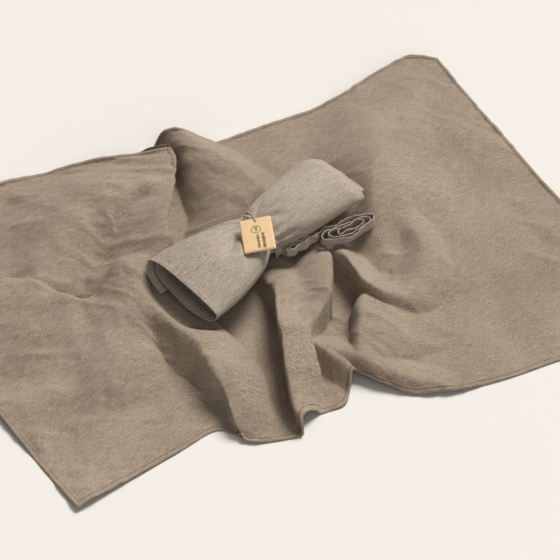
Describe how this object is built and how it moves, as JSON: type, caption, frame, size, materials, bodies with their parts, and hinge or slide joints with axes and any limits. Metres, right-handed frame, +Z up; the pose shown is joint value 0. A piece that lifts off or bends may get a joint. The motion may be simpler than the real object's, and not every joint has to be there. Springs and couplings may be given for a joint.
{
  "type": "baby wrap sling",
  "caption": "Hemmed linen baby wrap spread in soft folds, with a rolled length of wrap on it, tied with flax twine and a card tag.",
  "frame": {"origin": "on the floor, under the middle of the object's box", "axes": "+X along the panel's long edge, +Y towards its back hem, +Z up"},
  "size_m": [1.088, 0.742, 0.103],
  "materials": {
    "linen_panel": "washed slub linen, matt",
    "linen_roll": "washed slub linen, matt, greyer",
    "hem_thread": "matt sewing thread",
    "flax_twine": "hairy two-ply flax",
    "kraft_card": "uncoated kraft card"
  },
  "bodies": {
    "spread_panel": {"wrap_cloth": "linen_panel", "left_end_thread": "hem_thread", "front_hem_thread_left": "hem_thread", "front_hem_thread_right": "hem_thread", "right_end_thread": "hem_thread", "back_hem_thread_right": "hem_thread", "back_hem_thread_left": "hem_thread"},
    "tied_roll": {"rolled_wrap": "linen_roll", "tie_strap": "linen_roll", "twine_loop": "flax_twine", "twine_knot": "flax_twine", "twine_long_tail": "flax_twine", "twine_short_tail": "flax_twine"},
    "tag": {"kraft_tag": "kraft_card"}
  },
  "joints": [
    {"name": "roll_lift", "type": "slide", "parent": "spread_panel", "child": "tied_roll", "axis": [0, 0, 1], "range_m": [0, 0.25]},
    {"name": "tag_flip", "type": "hinge", "parent": "tied_roll", "child": "tag", "pos_m": [0.02963, 0.02208, 0.09894], "axis": [-0.9452, 0.2962, -0.1371], "range_deg": [0, 150]}
  ]
}
